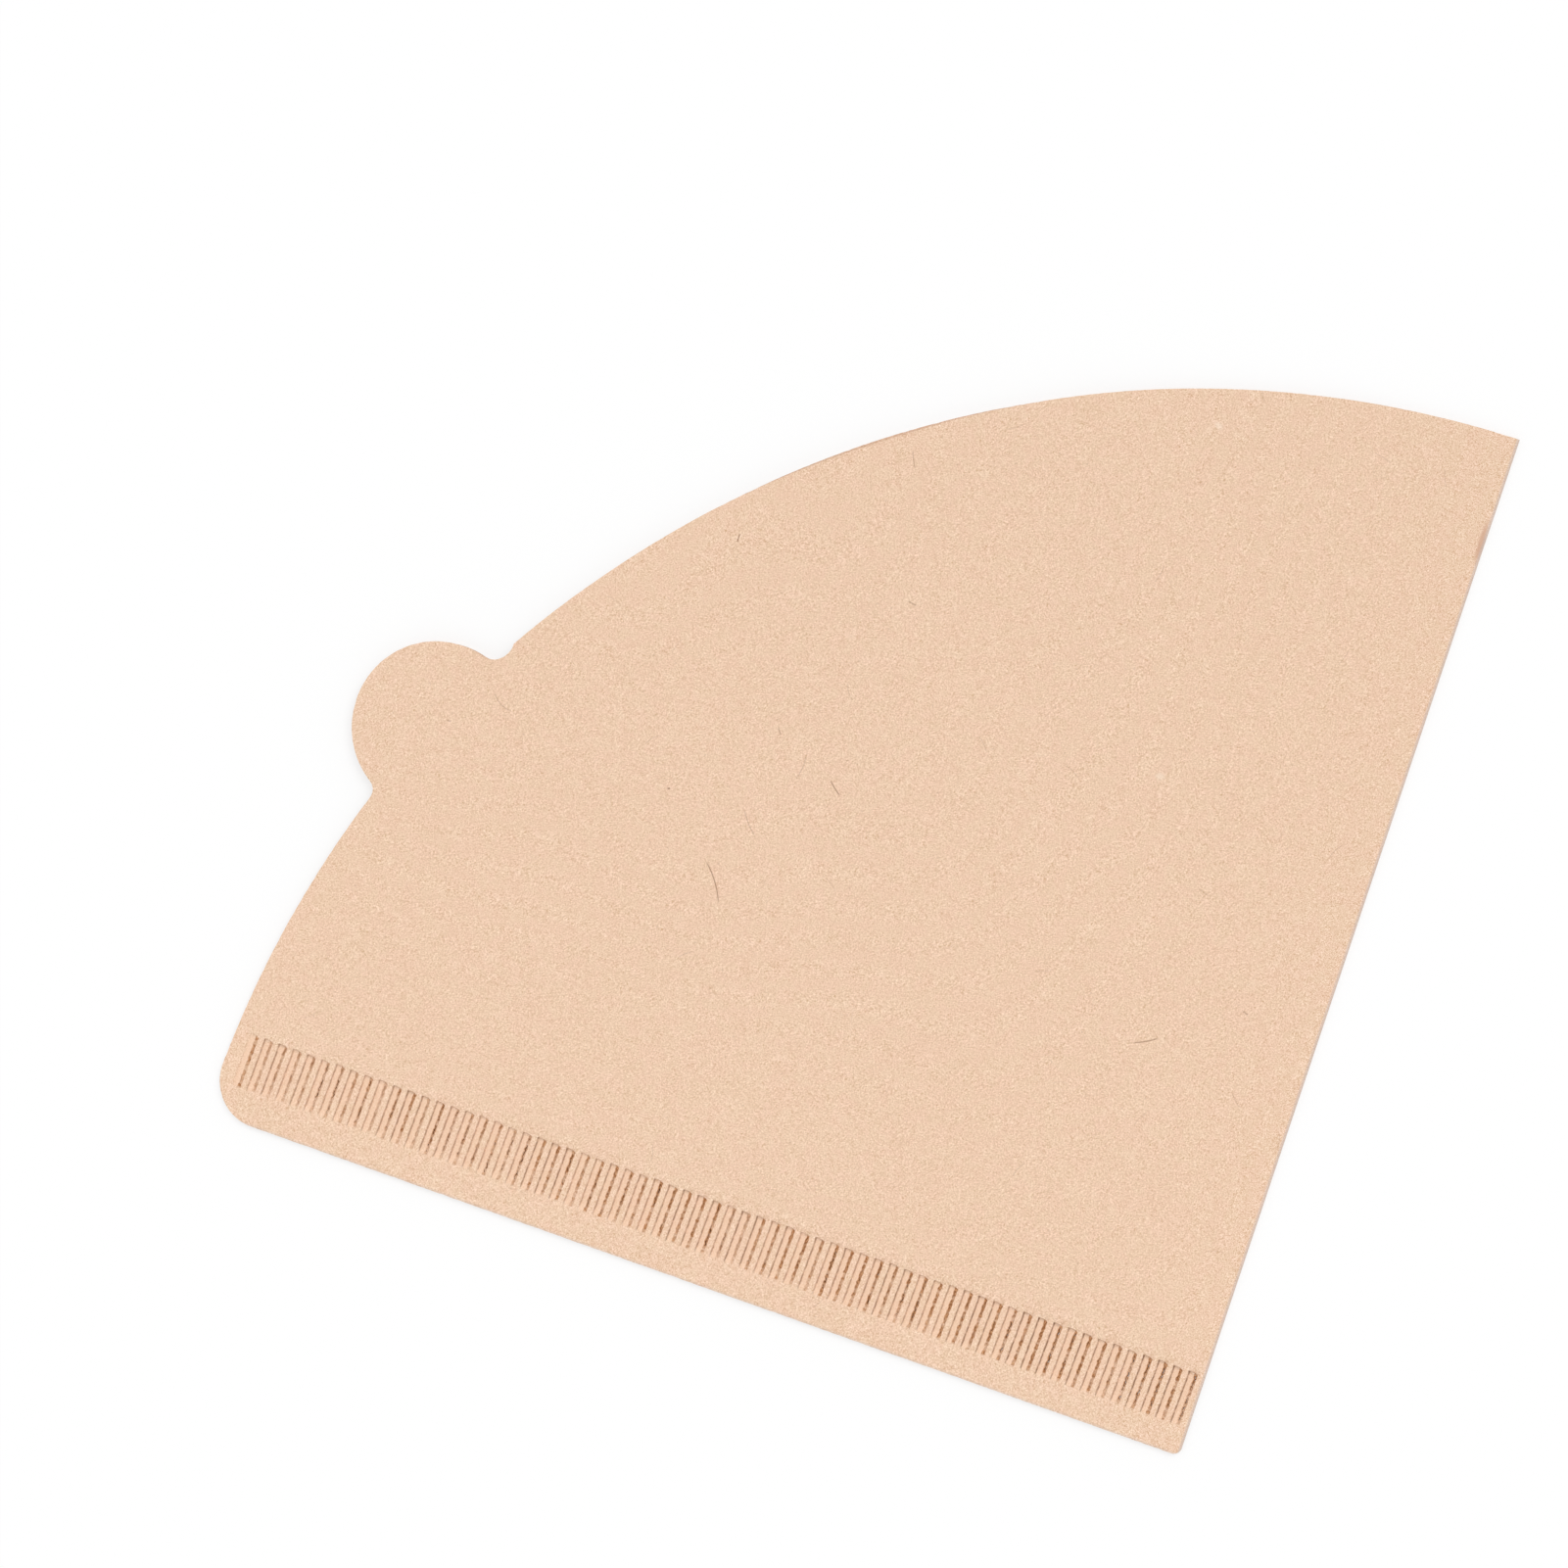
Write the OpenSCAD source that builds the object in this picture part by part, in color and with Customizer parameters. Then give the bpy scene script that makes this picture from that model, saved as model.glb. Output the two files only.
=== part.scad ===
// Cone coffee filter of unbleached paper, folded flat.
// One die-cut sheet is folded in half along a straight edge, and its two plies are
// crimped together along the edge that meets the fold at the apex. The curved rim
// stays open as the mouth and carries a round tab. The filter lies on a table: the
// lower ply is flat, and the upper ply is lifted a little where the mouth gapes.
// The origin is under the middle of the sheet, +Y runs along the fold.

/* [Sheet] */
// Length of the folded edge, from the apex to the rim
side_length = 117; // [95:0.5:140]
// Thickness of one ply of paper
ply = 0.22; // [0.18:0.01:0.34]
// Gap between the plies at the middle of the mouth
mouth_gape = 1.6; // [0.8:0.1:3]
// Radius of the rounded corner between the rim and the seam edge
seam_corner_radius = 5.5; // [2:0.5:8]
// Radius of the small rounding at the apex
apex_radius = 0.9; // [0.4:0.1:1.5]

/* [Tab] */
// Radius of the round tab
tab_radius = 9.6; // [8:0.1:13]
// Distance from the rim's circle in to the tab's centre
tab_inset = 0.5; // [0:0.1:3]
// Angle between the seam edge and the tab's centre, seen from the apex
tab_angle = 25; // [22:0.2:60]
// Radius of the soft hollow between the rim and the tab, on the side of the fold
tab_hollow_radius = 2.4; // [0.8:0.1:4]
// Distance that this hollow cuts into the rim's circle
tab_hollow_bite = 0.4; // [0:0.1:0.8]
// Radius of the sharp notch between the rim and the tab, on the side of the seam
tab_notch_radius = 1.4; // [0.5:0.1:2]

/* [Crimped seam] */
// Plain strip between the cut edge and the crimps
seam_margin = 3.4; // [2:0.1:5]
// Length of one crimp, across the seam
crimp_length = 6; // [4:0.1:8]
// Width of one crimp, along the seam
crimp_width = 1.08; // [0.9:0.02:1.16]
// Distance from one crimp to the next
crimp_pitch = 1.766; // [1.6:0.002:2.6]
// Distance from the folded edge to the first crimp
crimp_start = 0.9; // [0.8:0.05:3]
// Least distance from the last crimp to the rim
crimp_end = 1.2; // [0.8:0.1:4]
// Depth that each crimp is pressed through the plies, which is the slack at the fold too
crimp_depth = 0.3; // [0.2:0.01:0.32]
// Length over which a crimp rises back to the seam's face
crimp_run_out = 0.9; // [0.6:0.1:3]
// Radius of the curved end of a crimp, towards the pocket
crimp_end_radius = 1.2; // [0.6:0.05:2]
// Width of the slit that is sheared along the fold side of each crimp
slit_width = 0.3; // [0.2:0.01:0.4]
// Distance from the cut-edge end of a crimp to its slit
slit_start = 0.5; // [0.3:0.1:2.4]
// Distance from the slit to the curved end of its crimp
slit_end = 0.1; // [0.1:0.05:0.6]
// Plain strip between the crimps and the pocket
seam_land = 0.7; // [0.2:0.1:2]
// Length over which the lower ply comes down from the seam to the table
ply_drop = 4; // [2:0.5:8]

/* [Hidden] */
paper_colour = [0.93, 0.80, 0.70];
$fn = 96;

// Heights above the table
edge_height = 2 * ply + crimp_depth;
fold_radius = edge_height / 2;
seam_underside = crimp_depth;
pocket_ceiling = edge_height - ply;

// Places along Y, from the cut edge of the seam
crimp_top = seam_margin + crimp_length;
pocket_start = crimp_top + seam_land;
drop_end = pocket_start + ply_drop;

// Overshoot of the shapes that cut, and of the blanks that the outline trims
over = 1;
blank = side_length + tab_radius + over;
die_height = edge_height + mouth_gape + 2 * over;

// Rounded corner where the rim meets the seam edge
corner_x = -sqrt(pow(side_length - seam_corner_radius, 2) - pow(seam_corner_radius, 2));
corner_centre = [corner_x, seam_corner_radius];

// Tab
tab_distance = side_length - tab_inset;
tab_centre = from_apex(tab_distance, tab_angle);

// Hair by which a fillet's circle crosses the circles that it joins, in place of touching them
fillet_overlap = 0.01;

// Extent of the sheet along X, which sets the origin
sheet_reach = max(seam_corner_radius - corner_x, tab_radius - tab_centre.x);

// Number of crimps that fit between the fold and the rim
crimp_room = side_length - crimp_start - crimp_end - crimp_width;
crimp_count = 1 + floor(crimp_room / crimp_pitch);

// Curved end of a crimp: half its angle, its arc's centre, and where the straight sides end
crimp_end_angle = asin(crimp_width / 2 / crimp_end_radius);
crimp_end_centre = crimp_top - crimp_end_radius;
crimp_side_end = crimp_end_centre + crimp_end_radius * cos(crimp_end_angle);
crimp_end_steps = 4;

// The lifted ply is part of a very flat cone. Its tip lies at the inner end of the fold,
// and its side lies level over the fold and over the seam, 45 degrees off the middle.
// The tip is sunk a hair, so that the cone comes out of the level ply inside the inset.
wedge_half_angle = 45;
cone_tip_sink = 0.02;
cone_inset = 0.3;
mouth_distance = sqrt(pow(side_length, 2) - pow(pocket_start, 2) / 2) - pocket_start / sqrt(2);
lift_height = mouth_gape - crimp_depth;
lift_angle = asin((lift_height + cone_tip_sink) / mouth_distance);
cone_tilt = atan(sin(lift_angle) / (cos(lift_angle) - cos(wedge_half_angle)));
cone_half_angle = 90 - cone_tilt + lift_angle;
cone_side = 2 * side_length;

// A point at a distance from the apex, at an angle above the seam edge
function from_apex(distance, angle) = distance * [-cos(angle), sin(angle)];

// Distance from the apex to the centre of a fillet beside the tab
function fillet_distance(radius, bite) = side_length + radius - bite - fillet_overlap;

// Angle at the apex between the tab's centre and the centre of a fillet beside the tab
function fillet_offset(radius, bite) =
    let (
        to_tab = tab_distance,
        to_fillet = fillet_distance(radius, bite),
        between = tab_radius + radius - fillet_overlap
    )
    acos((to_tab * to_tab + to_fillet * to_fillet - between * between) / (2 * to_tab * to_fillet));

// Centre of the fillet circle in the concave corner on one side of the tab
function fillet_centre(radius, side, bite) =
    from_apex(fillet_distance(radius, bite), tab_angle + side * fillet_offset(radius, bite));

// Paper that fills the concave corner on one side of the tab, as far as the fillet's centre
module tab_root(radius, side, bite) {
    centre = fillet_centre(radius, side, bite);
    inside_rim = centre * (side_length - tab_radius / 2) / norm(centre);
    polygon([tab_centre, centre, inside_rim]);
}

// A round post of the die at a place in plan
module die_post(place, radius) {
    translate([place.x, place.y, -over]) cylinder(h = die_height, r = radius);
}

// What the die takes off the corner between the rim and the seam edge
module seam_corner_waste() {
    past_rim = corner_centre * (side_length + over) / norm(corner_centre);
    difference() {
        translate([0, 0, -over])
            linear_extrude(die_height)
                polygon([
                    corner_centre,
                    [corner_x, -over],
                    [-side_length - over, -over],
                    past_rim
                ]);
        die_post(corner_centre, seam_corner_radius);
    }
}

// What the die takes off the tip at the apex
module apex_waste() {
    difference() {
        translate([-apex_radius, -over, -over])
            cube([apex_radius + over, apex_radius + over, die_height]);
        die_post([-apex_radius, apex_radius], apex_radius);
    }
}

// Everything inside the die's blade: a quarter disc about the apex, with the tab on its rim
module die_cut() {
    difference() {
        union() {
            intersection() {
                die_post([0, 0], side_length);
                translate([-side_length, 0, -over])
                    cube([side_length, side_length, die_height]);
            }
            die_post(tab_centre, tab_radius);
            translate([0, 0, -over]) linear_extrude(die_height)
                tab_root(tab_hollow_radius, 1, tab_hollow_bite);
            translate([0, 0, -over]) linear_extrude(die_height)
                tab_root(tab_notch_radius, -1, 0);
        }
        die_post(fillet_centre(tab_hollow_radius, 1, tab_hollow_bite), tab_hollow_radius);
        die_post(fillet_centre(tab_notch_radius, -1, 0), tab_notch_radius);
        seam_corner_waste();
        apex_waste();
    }
}

// A profile drawn across the seam, with Y along the fold and Z up, run along the seam
module along_seam(profile, from_x, to_x) {
    translate([from_x, 0, 0])
        rotate([90, 0, 90])
            linear_extrude(to_x - from_x) polygon(profile);
}

// A section across the fold, with X across the fold and Y up, run along the fold
module along_fold(from_y) {
    translate([0, blank, 0])
        rotate([90, 0, 0])
            linear_extrude(blank - from_y) children();
}

// Section across the fold: a flat strip of a height that ends in a half round at the fold
module fold_section(height) {
    translate([-blank, fold_radius - height / 2]) square([blank - fold_radius, height]);
    translate([-fold_radius, fold_radius]) circle(r = height / 2);
}

// The flat cone that lifts the upper ply, kept to the wedge inside its level edges
module lift(height) {
    intersection() {
        translate([-fold_radius, pocket_start, height - cone_tip_sink])
            rotate([0, 0, 90 + wedge_half_angle])
                rotate([0, 180 - cone_tilt, 0])
                    cylinder(
                        h = cone_side * cos(cone_half_angle),
                        r1 = 0,
                        r2 = cone_side * sin(cone_half_angle),
                        $fn = 240
                    );
        translate([-blank, pocket_start + cone_inset, height - ply / 2])
            cube([blank - fold_radius - cone_inset, blank, mouth_gape + ply]);
    }
}

// The folded sheet's outer skin, filled solid
module outer_form() {
    along_fold(-over) fold_section(edge_height);
    lift(edge_height);
}

// The space between the plies, open at the rim
module pocket() {
    along_seam([
        [pocket_start, pocket_ceiling],
        [drop_end, ply],
        [blank, ply],
        [blank, pocket_ceiling]
    ], -blank, -fold_radius);
    along_fold(drop_end) fold_section(crimp_depth);
    lift(pocket_ceiling);
}

// Outline of a crimp about its middle line: a bar across the seam with an arc at the end
function crimp_outline() = concat(
    [[-crimp_width / 2, seam_margin], [crimp_width / 2, seam_margin]],
    [
        for (i = [0 : crimp_end_steps])
            let (angle = crimp_end_angle * (1 - 2 * i / crimp_end_steps))
            [0, crimp_end_centre] + crimp_end_radius * [sin(angle), cos(angle)]
    ]
);

// Places its children at the middle line of every crimp
module at_crimps() {
    for (i = [0 : crimp_count - 1])
        translate([-crimp_start - crimp_width / 2 - i * crimp_pitch, 0]) children();
}

// The slits, where the crimps are sheared off the seam on the side of the fold
module slits() {
    from_y = seam_margin + slit_start;
    at_crimps()
        translate([crimp_width / 2 - slit_width, from_y, -over])
            cube([slit_width, crimp_side_end - slit_end - from_y, die_height]);
}

// The part of every crimp that is pressed out of one face of the seam at a height
module pressed_crimps(face, far_side) {
    intersection() {
        linear_extrude(edge_height + over) at_crimps() polygon(crimp_outline());
        along_seam([
            [seam_margin, face],
            [seam_margin + crimp_run_out, face - crimp_depth],
            [pocket_start, face - crimp_depth],
            [pocket_start, far_side],
            [seam_margin, far_side]
        ], -blank, 0);
    }
}

// The space under the seam, which the pressed crimps reach down into
module space_under_seam() {
    difference() {
        along_seam([
            [-over, -over],
            [drop_end, -over],
            [drop_end, 0],
            [pocket_start, seam_underside],
            [-over, seam_underside]
        ], -blank, over);
        pressed_crimps(seam_underside, seam_underside + ply);
    }
}

// The whole filter: one folded, crimped and die-cut sheet
module filter_paper() {
    color(paper_colour)
        translate([sheet_reach / 2, -side_length / 2, 0])
            difference() {
                intersection() {
                    outer_form();
                    die_cut();
                }
                pocket();
                space_under_seam();
                pressed_crimps(edge_height, edge_height + over);
                slits();
            }
}

filter_paper();
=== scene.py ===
import math
import random

import bpy
import numpy as np
from mathutils import Euler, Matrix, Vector
from mathutils.geometry import delaunay_2d_cdt


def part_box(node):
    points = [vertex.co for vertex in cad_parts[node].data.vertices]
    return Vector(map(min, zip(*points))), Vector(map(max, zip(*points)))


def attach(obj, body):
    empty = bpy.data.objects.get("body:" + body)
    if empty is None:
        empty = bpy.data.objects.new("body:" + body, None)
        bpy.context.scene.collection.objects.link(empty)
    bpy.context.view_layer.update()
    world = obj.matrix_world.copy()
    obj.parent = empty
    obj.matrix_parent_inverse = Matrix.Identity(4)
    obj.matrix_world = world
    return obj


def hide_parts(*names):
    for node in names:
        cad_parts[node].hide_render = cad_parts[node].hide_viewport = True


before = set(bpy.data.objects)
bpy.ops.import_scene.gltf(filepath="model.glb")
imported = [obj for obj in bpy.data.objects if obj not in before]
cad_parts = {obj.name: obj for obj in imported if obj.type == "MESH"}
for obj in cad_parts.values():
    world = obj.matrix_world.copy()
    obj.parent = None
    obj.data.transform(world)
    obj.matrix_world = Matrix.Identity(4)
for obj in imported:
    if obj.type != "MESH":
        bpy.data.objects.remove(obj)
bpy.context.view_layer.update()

# Sizes of the folded sheet, in millimetres. Places are seen from the apex: X is 0 at the
# fold and negative across the sheet, Y runs up the fold from the cut edge of the seam.
MM = 0.001
node_low, node_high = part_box("filter_paper")
APEX = (node_high.x / MM, node_low.y / MM)
SIDE = (node_high.y - node_low.y) / MM
PLY = 0.22
SEAM_CORNER_RADIUS = 5.5
APEX_RADIUS = 0.9
TAB_RADIUS = 9.6
TAB_INSET = 0.5
TAB_ANGLE = math.radians(25)
TAB_HOLLOW_RADIUS = 2.4
TAB_HOLLOW_BITE = 0.4
TAB_NOTCH_RADIUS = 1.4
SEAM_MARGIN = 3.4
CRIMP_LENGTH = 6.0
CRIMP_WIDTH = 1.08
CRIMP_PITCH = 1.766
CRIMP_START = 0.9
CRIMP_COUNT = 65
CRIMP_DEPTH = 0.3
CRIMP_RUN_OUT = 0.9
CRIMP_END_RADIUS = 1.2
SLIT_WIDTH = 0.3
SLIT_START = 0.5
SEAM_LAND = 0.7
PLY_DROP = 4.0

EDGE_HEIGHT = 2 * PLY + CRIMP_DEPTH
FOLD_RADIUS = EDGE_HEIGHT / 2
CRIMP_TOP = SEAM_MARGIN + CRIMP_LENGTH
POCKET_START = CRIMP_TOP + SEAM_LAND
LIFT_HEIGHT = node_high.z / MM - EDGE_HEIGHT

# Spacing of the mesh's points, in millimetres
EDGE_STEP = 0.45
FOLD_STEP = 0.8
FACE_STEP = 1.35
POCKET_STEP = 0.9
LAND_STEP = 0.5
# Rows of points along the fold below the pocket, and along a crimp
APEX_ROWS = 12
CRIMP_ROWS = 30
# Margins that points keep from the ends of the fold, and those of the even field from the fold,
# the crimps and all other lines
END_MARGIN = 0.7
FOLD_MARGIN = 1.1
CRIMP_MARGIN = 0.5
LINE_MARGIN = 0.6
# Columns of points across the round of the fold, and the one where the pocket ends
FOLD_COLUMNS = 9
POCKET_COLUMN = 6

# Torn fibres fill a crimp from above, so its upper face is pressed down by less than its lower one
UPPER_PRESS = 0.75
# The crimp nearest the rim is half pressed: its shares of the others' depth, slit colour and
# painted shade in the crease
LAST_PRESS = 0.4
LAST_SLIT = 1.4
LAST_CREASE_SHADE = 0.15
# How far a crimp leans towards the fold over one millimetre of its length
CRIMP_LEAN = 0.035
# The crimping rolls ran a little askew: how far the ends of a crimp move up over one
# millimetre along the seam, and where they lie at the fold against the sizes above
FOOT_SKEW = 0.0055
FOOT_SHIFT = -0.35
TOP_SKEW = 0.0065
TOP_SHIFT = -0.18
# Slant of a crimp's top, up towards the rim
TOP_SLANT = 0.2
# Gap between a crimp's last row and its curved end, and width of that end's step
ROWS_SHORT = 0.2
END_STEP = 0.11
# Strengths of the slits' torn fibres and painted shade and of the painted shade in the crease at
# the fold, and how much each loses at the rim
SLIT_TINT, SLIT_LOSS = 1.14, 0.56
CREASE_SHADE_TINT, CREASE_SHADE_LOSS = 1.0, 0.25
# Strengths of the painted highlight on the land between two crimps and beside a slit, and how far
# that land stands up
LAND_HIGHLIGHT = 0.35
SLIT_HIGHLIGHT = 0.5
LAND_RISE = 0.012

# How ragged the die's cut is, how deep the groove between the plies is, and how dark its painted
# shade is
CUT_FUZZ = 0.022
EDGE_GROOVE = 0.05
GROOVE_SHADE = 0.2
# Edges that turn by more degrees than this stay sharp
SHARP_FROM = 14

# Soft waves lower the bowed ply by up to this share
WAVES = 0.1
# Where the upper ply is drawn in at the rim: middle and spread in degrees, and how far
DRAWN_IN = [(54, 9.5, 0.5), (39, 6, 0.2)]
# Share of the way from the apex to the rim where that begins
DRAWN_FROM = 0.85

SEED = 20


def clamp(value, low=0.0, high=1.0):
    return max(low, min(high, value))


def ease(value):
    """Smooth step from 0 to 1."""
    t = clamp(value)
    return t * t * (3 - 2 * t)


# Outline of the sheet

def from_apex(distance, angle):
    """A point at a distance from the apex, at an angle above the seam's cut edge."""
    return (-distance * math.cos(angle), distance * math.sin(angle))


def fillet_centre(radius, side, bite):
    """Centre of the fillet circle on one side of the tab, which bites into the rim's circle."""
    to_tab, to_fillet, between = SIDE - TAB_INSET, SIDE + radius - bite, TAB_RADIUS + radius
    share = (to_tab**2 + to_fillet**2 - between**2) / (2 * to_tab * to_fillet)
    return from_apex(to_fillet, TAB_ANGLE + side * math.acos(share))


def rim_crossing(centre, radius, side):
    """Where the rim's circle meets a fillet's circle, on the far side from the tab."""
    away = math.hypot(*centre)
    share = (SIDE**2 + away**2 - radius**2) / (2 * SIDE * away)
    return from_apex(SIDE, math.atan2(centre[1], -centre[0]) + side * math.acos(min(share, 1.0)))


def arc(centre, radius, start, end, turn):
    """Points on a circle, from one point's direction to another's. The last is left out."""
    first = math.atan2(start[1] - centre[1], start[0] - centre[0])
    last = math.atan2(end[1] - centre[1], end[0] - centre[0])
    sweep = (turn * (last - first)) % (2 * math.pi)
    steps = max(2, round(radius * sweep / EDGE_STEP))
    angles = [first + turn * sweep * i / steps for i in range(steps)]
    return [(centre[0] + radius * math.cos(a), centre[1] + radius * math.sin(a)) for a in angles]


def fold_columns():
    """Places across the round of the fold, from its outermost line to where the plies are level."""
    return [FOLD_RADIUS * (math.cos(math.radians(a)) - 1) for a in np.linspace(0, 90, FOLD_COLUMNS)]


def mouth_corner():
    """Where the rim meets the closed edge of the pocket."""
    return from_apex(SIDE, math.asin(POCKET_START / SIDE))


def outline(rows):
    """The outline, anticlockwise from the fold's top. rows are the points' places on the fold."""
    columns = fold_columns()
    tab = from_apex(SIDE - TAB_INSET, TAB_ANGLE)
    hollow = fillet_centre(TAB_HOLLOW_RADIUS, 1, TAB_HOLLOW_BITE)
    notch = fillet_centre(TAB_NOTCH_RADIUS, -1, 0.0)
    rim_end = rim_crossing(hollow, TAB_HOLLOW_RADIUS, 1)
    corner = (
        -math.sqrt((SIDE - SEAM_CORNER_RADIUS) ** 2 - SEAM_CORNER_RADIUS**2),
        SEAM_CORNER_RADIUS,
    )
    apex = (0.0, 0.0)
    mouth_end = mouth_corner()
    tip = (-APEX_RADIUS, APEX_RADIUS)

    def tip_y(x):
        return tip[1] - math.sqrt(max(0, APEX_RADIUS**2 - (x - tip[0]) ** 2))

    points = [(x, math.sqrt(SIDE**2 - x * x)) for x in columns[:-1]]
    points += arc(apex, SIDE, (columns[-1], SIDE), rim_end, 1)
    points += arc(hollow, TAB_HOLLOW_RADIUS, rim_end, tab, -1)
    points += arc(tab, TAB_RADIUS, hollow, notch, 1)
    points += arc(notch, TAB_NOTCH_RADIUS, tab, apex, -1)
    points += arc(apex, SIDE, notch, mouth_end, 1)
    points += arc(apex, SIDE, mouth_end, corner, 1)
    below_corner = (corner[0], 0.0)
    points += arc(corner, SEAM_CORNER_RADIUS, (2 * corner[0], 2 * corner[1]), below_corner, 1)
    steps = round((-APEX_RADIUS - corner[0]) / EDGE_STEP)
    points += [(corner[0] + (-APEX_RADIUS - corner[0]) * i / steps, 0.0) for i in range(steps)]
    points += [(x, tip_y(x)) for x in (tip[0], tip[0] + APEX_RADIUS * 0.3)]
    points += [(x, tip_y(x)) for x in columns[::-1]]
    points += [(0.0, y) for y in rows]
    return points


# Plan of the mesh

class Plan:
    """Points of the sheet seen from above, and the lines that its triangles keep to."""

    def __init__(self):
        self.points = []
        self.drop = []
        self.shift = []
        self.torn_and_shade = []
        self.crease = []
        self.sleek = []
        self.lines = []
        self.slits = []

    def add(self, x, y, drop=0.0, torn_and_shade=0.0, crease=0.0, shift=0.0, sleek=0.0):
        """drop is how far the faces are pressed down, shift how far the lower one moves along X."""
        self.points.append((x, y))
        self.drop.append(drop)
        self.shift.append(shift)
        self.torn_and_shade.append(torn_and_shade)
        self.crease.append(crease)
        self.sleek.append(sleek)
        return len(self.points) - 1

    def chain(self, indices):
        self.lines += list(zip(indices, indices[1:]))


def arc_y(x, top):
    """How far up the curved end of a crimp reaches, at a place across it."""
    return top - CRIMP_END_RADIUS + math.sqrt(CRIMP_END_RADIUS**2 - x * x)


class Wobble:
    """A smooth random line: a few sines of random phase."""

    def __init__(self, rng, size, lengths):
        self.parts = [(2 * math.pi / length, rng.uniform(0, 2 * math.pi)) for length in lengths]
        self.size = size / len(lengths) ** 0.5

    def at(self, place):
        return self.size * sum(math.sin(k * place + phase) for k, phase in self.parts)


def crimp_lean(y):
    """How far a crimp has leant over at a height, against its middle."""
    return CRIMP_LEAN * (y - (SEAM_MARGIN + CRIMP_TOP) / 2)


class Crimp:
    """The random shape and tints of one crimp. Its columns of points run towards the fold."""

    # The number of columns and the two beside the slit
    COLUMNS = 12
    SLIT_COLUMNS = (7, 8)

    def __init__(self, rng, index):
        self.middle = -CRIMP_START - CRIMP_WIDTH / 2 - index * CRIMP_PITCH
        self.half = CRIMP_WIDTH / 2
        self.is_last = index == CRIMP_COUNT - 1
        to_rim = -self.middle / SIDE
        press = LAST_PRESS if self.is_last else 1.0
        self.depth = CRIMP_DEPTH * UPPER_PRESS * press * rng.uniform(0.85, 1.0)
        self.foot = SEAM_MARGIN + FOOT_SHIFT - FOOT_SKEW * self.middle
        self.top = CRIMP_TOP + TOP_SHIFT - TOP_SKEW * self.middle + rng.uniform(-0.1, 0.03)
        self.opening = rng.uniform(0.02, 0.09)
        self.slit_from = self.foot + SLIT_START + rng.uniform(-0.2, 0.5)
        self.slit_tint = rng.uniform(0.62, 1.2) * (SLIT_TINT - SLIT_LOSS * to_rim)
        self.crease_shade_tint = rng.uniform(0.62, 1.1) * (CREASE_SHADE_TINT - CREASE_SHADE_LOSS * to_rim)
        if self.is_last:
            self.slit_tint *= LAST_SLIT
            self.crease_shade_tint *= LAST_CREASE_SHADE
        self.left_edge = Wobble(rng, 0.016, (0.9, 0.5, 2.1))
        self.slit_edge = Wobble(rng, 0.045, (0.55, 1.3, 0.8))
        self.right_edge = Wobble(rng, 0.03, (0.6, 1.1, 0.4))
        self.shade = Wobble(rng, 0.42, (0.42, 0.8, 1.5, 3.3))
        self.end = arc_y(self.half, self.top) - TOP_SLANT * self.half - ROWS_SHORT
        count = rng.choice((0, 1, 1, 2))
        self.bridges = [rng.uniform(self.slit_from, self.end - 0.5) for _ in range(count)]
        self.bridge_half = rng.uniform(0.12, 0.35)

    def middle_at(self, y):
        return self.middle + crimp_lean(y)

    def is_bridged(self, y):
        return any(abs(y - b) < self.bridge_half for b in self.bridges)

    def is_open(self, y):
        return y > self.slit_from and not self.is_bridged(y) and not self.is_last

    def add_row(self, plan, y):
        """One row of points across the crimp, from the side of the rim to that of the fold."""
        pressed = self.depth * ease((y - self.foot) / CRIMP_RUN_OUT)
        # The marks set in just above the foot, and the slit's torn fibres and painted shade are
        # darkest near the curved end
        marked = ease((y - self.foot) / 0.25)
        level = 0.76 + 0.27 * (y - self.foot) / CRIMP_LENGTH + 0.3 * ease((y - self.end) / 0.9 + 1)
        torn_and_shade = self.slit_tint * marked * clamp(level + self.shade.at(y), 0.25, 1.4)
        torn_and_shade *= 0.7 if self.is_bridged(y) else 1.0
        crease = self.crease_shade_tint * marked * clamp(0.9 + self.shade.at(y + 5), 0.4, 1.0)
        x = self.middle_at(y)
        left = -self.half + self.left_edge.at(y + 9)
        band = self.half - SLIT_WIDTH - 0.08 + self.slit_edge.at(y)
        hole = band + 0.11
        right = self.half + self.right_edge.at(y)
        width = self.opening * (1 + 1.6 * self.shade.at(y + 3))
        width = clamp(width, 0.03, right - 0.07 - hole)
        far_press = 0.85 if self.is_open(y) else 0.95
        # The rim of the crimp and its creased step with painted shade, its middle with a painted
        # highlight, then the torn slit with painted shade
        return [
            plan.add(x + left - 0.1, y, sleek=LAND_HIGHLIGHT),
            plan.add(x + left - 0.01, y, crease=0.45 * crease),
            plan.add(x + left + 0.05, y, pressed, crease=crease),
            plan.add(x + left + 0.11, y, pressed * 0.95, crease=0.55 * crease),
            plan.add(x + left + 0.17, y, pressed * 0.9, sleek=marked),
            plan.add(x + band - 0.03, y, pressed * 0.9, sleek=marked),
            plan.add(x + band + 0.01, y, pressed, torn_and_shade),
            plan.add(x + hole, y, pressed * 1.1, torn_and_shade, shift=0.01),
            plan.add(x + hole + width, y, pressed * far_press, torn_and_shade, shift=-0.01),
            plan.add(x + right - 0.05, y, pressed * 0.5, torn_and_shade),
            plan.add(x + right, y, 0.0, 0.35 * torn_and_shade),
            plan.add(x + right + 0.05, y, sleek=SLIT_HIGHLIGHT),
        ]

    def add_end(self, plan, row):
        """The curved end above the last row: the foot of its step and the step's top."""
        foot, top = [], []
        last = self.COLUMNS - 1
        for column, below in enumerate(row):
            x = plan.points[below][0]
            off = clamp(x - self.middle_at(self.top), -self.half, self.half)
            y = arc_y(off, self.top) - TOP_SLANT * off
            drop = 0.75 * self.depth if 1 < column < last - 1 else 0.0
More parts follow.
